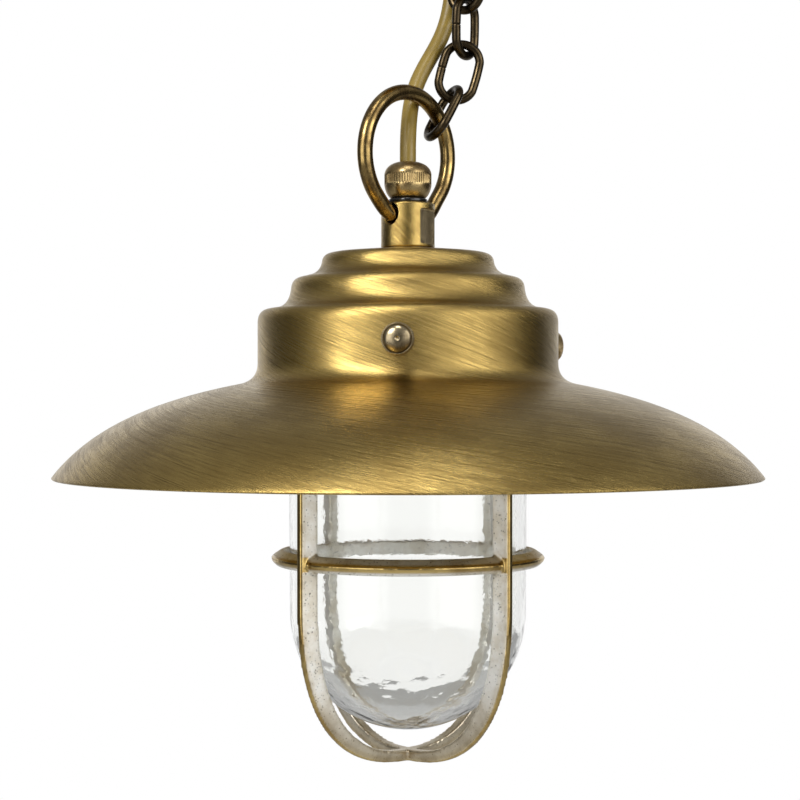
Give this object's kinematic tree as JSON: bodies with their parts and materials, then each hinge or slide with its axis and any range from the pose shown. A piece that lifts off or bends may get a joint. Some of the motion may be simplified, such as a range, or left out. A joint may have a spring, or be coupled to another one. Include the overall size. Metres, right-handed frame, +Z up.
{
  "type": "ship lantern",
  "caption": "Hanging ship lantern: flared brass shade with a stepped dome over a caged glass globe, hung by a ring, a chain and a cable from a ceiling rose.",
  "frame": {"origin": "centre of the rose plate's top face, which lies on the ceiling", "axes": "+Z up; the front thumbscrew faces about -Y; +X to the right seen from the front"},
  "size_m": [0.31, 0.31, 0.4098],
  "materials": {
    "aged_brass": "brushed, aged",
    "cast_brass": "cast, worn edges",
    "dark_bronze": "dark patina",
    "bright_brass": "turned",
    "zinc_steel": "plated",
    "clear_glass": "clear, pressed",
    "black_rubber": "matte",
    "porcelain": "glazed ceramic",
    "cable_sheath": "satin PVC",
    "core_brown": "PVC",
    "core_green": "PVC",
    "core_blue": "PVC"
  },
  "bodies": {
    "ceiling_rose": {"rose_plate": "zinc_steel", "rose_cover": "aged_brass", "rose_cord_bush": "black_rubber", "ceiling_hook": "aged_brass", "hook_nut": "aged_brass", "terminal_block": "porcelain", "upper_cable_tail": "cable_sheath", "rose_core_live": "core_brown", "rose_core_earth": "core_green", "rose_core_neutral": "core_blue"},
    "chain_and_ring": {"chain_link_1": "dark_bronze", "chain_link_2": "dark_bronze", "chain_link_3": "dark_bronze", "chain_link_4": "dark_bronze", "hanging_ring": "aged_brass", "supply_cable": "cable_sheath"},
    "lantern": {"shade": "aged_brass", "hanger_body": "aged_brass", "gland_seal": "black_rubber", "threaded_nipple": "bright_brass", "hanger_washer": "zinc_steel", "hanger_locknut": "zinc_steel", "lampholder_cap": "bright_brass", "lampholder_insert": "porcelain", "lampholder_skirt": "bright_brass", "lampholder_screw_shell": "zinc_steel", "lampholder_contact": "zinc_steel", "lower_cable_tail": "cable_sheath", "collar_boss_1": "bright_brass", "collar_boss_2": "bright_brass", "collar_boss_3": "bright_brass", "lampholder_core_live": "core_brown", "lampholder_core_earth": "core_green", "lampholder_core_neutral": "core_blue"},
    "gland_nut": {"gland_nut": "aged_brass"},
    "cage_and_glass": {"cage_frame": "cast_brass", "glass_globe": "clear_glass", "glass_gasket": "black_rubber"},
    "thumbscrew_1": {"thumbscrew_1": "bright_brass"},
    "thumbscrew_2": {"thumbscrew_2": "bright_brass"},
    "thumbscrew_3": {"thumbscrew_3": "bright_brass"}
  },
  "joints": [
    {"name": "chain_swing", "type": "hinge", "parent": "ceiling_rose", "child": "chain_and_ring", "pos_m": [0, 0, -0.0553], "axis": [0.8528, 0.5222, 0], "range_deg": [-12, 12], "deforming": ["supply_cable"]},
    {"name": "hanger_swing", "type": "hinge", "parent": "chain_and_ring", "child": "lantern", "pos_m": [-0.02622, -0.01605, -0.16929], "axis": [0.6691, 0.7431, 0], "range_deg": [-20, 20], "deforming": ["supply_cable"]},
    {"name": "gland_nut_turn", "type": "hinge", "parent": "lantern", "child": "gland_nut", "pos_m": [-0.02622, -0.01605, -0.15409], "axis": [0, 0, 1], "continuous": true},
    {"name": "cage_drop", "type": "slide", "parent": "lantern", "child": "cage_and_glass", "axis": [0, 0, -1], "range_m": [0, 0.1]},
    {"name": "thumbscrew_1_slide", "type": "slide", "parent": "lantern", "child": "thumbscrew_1", "axis": [-0.061, -0.9981, 0], "range_m": [0, 0.006]},
    {"name": "thumbscrew_2_slide", "type": "slide", "parent": "lantern", "child": "thumbscrew_2", "axis": [0.8988, 0.4384, 0], "range_m": [0, 0.006]},
    {"name": "thumbscrew_3_slide", "type": "slide", "parent": "lantern", "child": "thumbscrew_3", "axis": [-0.8387, 0.5446, 0], "range_m": [0, 0.006]}
  ]
}
